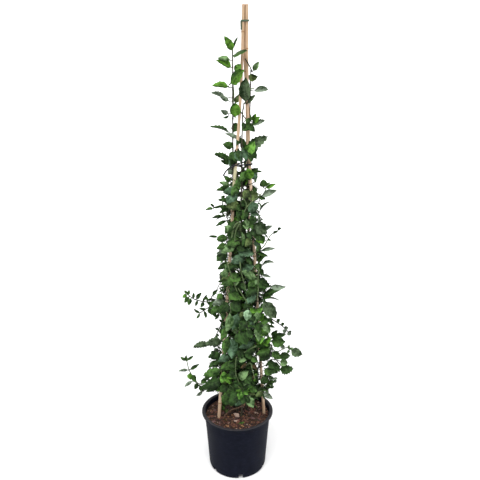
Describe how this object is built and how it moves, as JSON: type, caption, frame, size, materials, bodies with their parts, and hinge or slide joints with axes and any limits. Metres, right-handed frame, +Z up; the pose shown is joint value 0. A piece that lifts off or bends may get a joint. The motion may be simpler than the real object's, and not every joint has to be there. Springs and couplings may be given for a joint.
{
  "type": "potted climbing shrub",
  "caption": "Evergreen climbing shrub in a round black nursery pot, its leafy stems trained up slim bamboo canes that lean together and are tied at the top.",
  "frame": {"origin": "centre of the pot's flat underside, on the pot's axis", "axes": "+Z up along the pot's axis; -Y is the front of the plant, +X its right seen from the front"},
  "size_m": [0.4236, 0.3583, 1.5663],
  "materials": {
    "pot": "matt blow-moulded black plastic",
    "compost": "moist bark compost",
    "bamboo": "dried bamboo cane, satin",
    "bark": "young grey-green to brown bark, matt",
    "leaves": "leathery evergreen leaves, half gloss",
    "tie_green": "plastic-coated wire",
    "tie_black": "soft black plant tie"
  },
  "bodies": {
    "root": {"pot": "pot", "compost": "compost", "cane_left": "bamboo", "cane_right": "bamboo", "cane_rear": "bamboo", "tie_top": "tie_green", "tie_middle": "tie_black", "stem_left": "bark", "stem_middle": "bark", "stem_right": "bark", "stem_rear": "bark", "stem_arching": "bark", "bough_left_high": "bark", "bough_left_mid": "bark", "bough_left_low": "bark", "bough_left_upper": "bark", "bough_right_high": "bark", "bough_right_mid": "bark", "bough_right_low": "bark", "bough_right_shoulder": "bark", "bough_right_upper": "bark", "bough_front_low": "bark", "bough_front_high": "bark", "bough_rear_low": "bark", "bough_rear_mid": "bark", "bough_rear_high": "bark", "foliage_left_high": "leaves", "foliage_left_mid": "leaves", "foliage_left_low": "leaves", "foliage_left_upper": "leaves", "foliage_right_high": "leaves", "foliage_right_mid": "leaves", "foliage_right_low": "leaves", "foliage_right_shoulder": "leaves", "foliage_right_upper": "leaves", "foliage_front_low": "leaves", "foliage_front_high": "leaves", "foliage_rear_low": "leaves", "foliage_rear_mid": "leaves", "foliage_rear_high": "leaves", "foliage_tier_01a": "leaves", "foliage_tier_01b": "leaves", "foliage_tier_01c": "leaves", "foliage_tier_02a": "leaves", "foliage_tier_02b": "leaves", "foliage_tier_02c": "leaves", "foliage_tier_03a": "leaves", "foliage_tier_03b": "leaves", "foliage_tier_03c": "leaves", "foliage_tier_04a": "leaves", "foliage_tier_04b": "leaves", "foliage_tier_05a": "leaves", "foliage_tier_05b": "leaves", "foliage_tier_06a": "leaves", "foliage_tier_06b": "leaves", "foliage_tier_07": "leaves", "foliage_tier_08": "leaves", "foliage_tier_09": "leaves", "foliage_tier_10": "leaves"}
  },
  "joints": []
}
